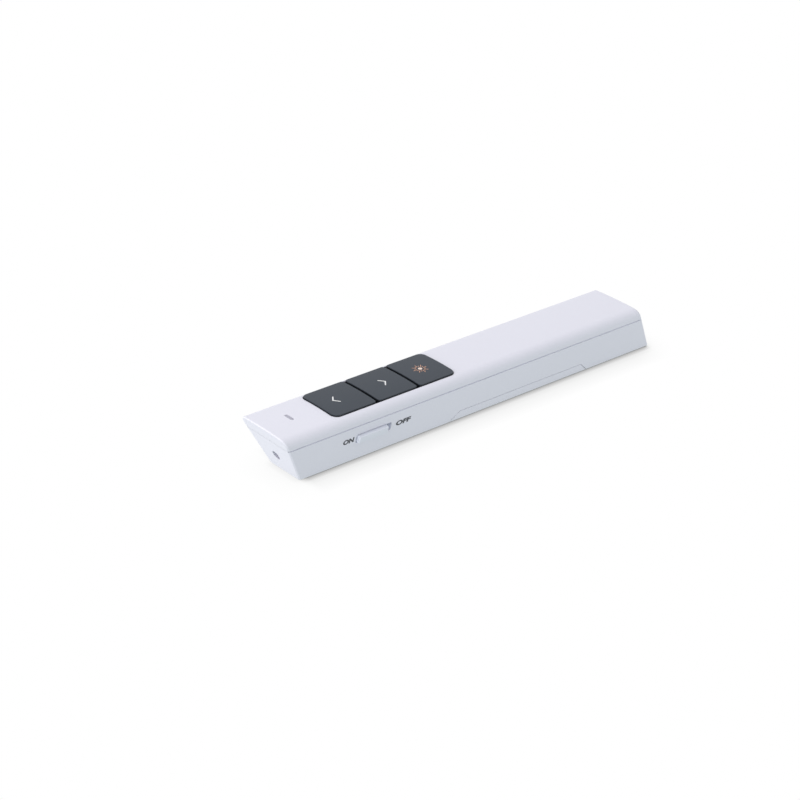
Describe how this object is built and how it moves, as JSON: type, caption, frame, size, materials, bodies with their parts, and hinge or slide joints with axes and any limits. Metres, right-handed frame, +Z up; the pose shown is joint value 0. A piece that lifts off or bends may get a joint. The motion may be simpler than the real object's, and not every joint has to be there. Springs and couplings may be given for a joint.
{
  "type": "wireless presentation clicker",
  "caption": "Slim handheld wireless presenter: page keys, laser key, side power slider, laser in the nose, hinged battery cover and a receiver stowed in the tail.",
  "frame": {"origin": "middle of the footprint on the flat underside", "axes": "+Z up through the keys, -Y towards the laser in the nose, +X towards the power slider"},
  "size_m": [0.0208, 0.1563, 0.0182],
  "materials": {
    "shell_white": "satin moulded ABS",
    "knob_white": "satin moulded ABS",
    "key_grey": "fine matt dark slate keys",
    "clear_plastic": "clear moulded acrylic",
    "board_green": "solder-masked circuit board",
    "led_white": "small surface-mount light",
    "chip_black": "black epoxy package",
    "steel_plain": "plain plated steel",
    "brass_plain": "turned brass",
    "switch_black": "black switch plastic",
    "plunger_white": "off-white switch plastic",
    "cell_sleeve": "plain printed sleeve on a steel can",
    "contact_nickel": "nickel-plated spring steel",
    "receiver_black": "black moulded plastic",
    "tongue_black": "black insulator",
    "screw_steel": "zinc-plated steel"
  },
  "bodies": {
    "housing": {"top_shell": "shell_white", "bottom_shell": "shell_white", "light_pipe": "clear_plastic", "laser_window": "clear_plastic", "main_board": "board_green", "status_led": "led_white", "radio_chip": "chip_black", "crystal": "steel_plain", "power_inductor": "chip_black", "laser_barrel": "brass_plain", "laser_lens": "clear_plastic", "laser_diode": "steel_plain", "laser_leads": "steel_plain", "slide_switch": "steel_plain", "switch_previous": "switch_black", "switch_next": "switch_black", "switch_laser": "switch_black", "battery_cell": "cell_sleeve", "positive_contact": "contact_nickel", "negative_contact": "contact_nickel", "battery_spring": "contact_nickel", "case_screw": "screw_steel", "board_screws": "screw_steel"},
    "battery_cover": {"battery_cover": "shell_white"},
    "power_slider": {"power_knob": "knob_white", "switch_lever": "switch_black"},
    "receiver": {"receiver_cap": "receiver_black", "receiver_plug": "contact_nickel", "receiver_board": "tongue_black"},
    "key_previous": {"button_previous": "key_grey", "plunger_previous": "plunger_white"},
    "key_next": {"button_next": "key_grey", "plunger_next": "plunger_white"},
    "key_laser": {"button_laser": "key_grey", "plunger_laser": "plunger_white"}
  },
  "joints": [
    {"name": "press_previous", "type": "slide", "parent": "housing", "child": "key_previous", "axis": [0, 0, -1], "range_m": [0, 0.0005], "stiffness_N_per_m": 1500},
    {"name": "press_next", "type": "slide", "parent": "housing", "child": "key_next", "axis": [0, 0, -1], "range_m": [0, 0.0005], "stiffness_N_per_m": 1500},
    {"name": "press_laser", "type": "slide", "parent": "housing", "child": "key_laser", "axis": [0, 0, -1], "range_m": [0, 0.0005], "stiffness_N_per_m": 1500},
    {"name": "power_slide", "type": "slide", "parent": "housing", "child": "power_slider", "axis": [0, 1, 0], "range_m": [0, 0.0015]},
    {"name": "cover_hinge", "type": "hinge", "parent": "housing", "child": "battery_cover", "pos_m": [0, -0.01122, 0], "axis": [-1, 0, 0], "range_deg": [0, 60]},
    {"name": "receiver_pull", "type": "slide", "parent": "housing", "child": "receiver", "axis": [0, 1, 0], "range_m": [0, 0.025]}
  ]
}
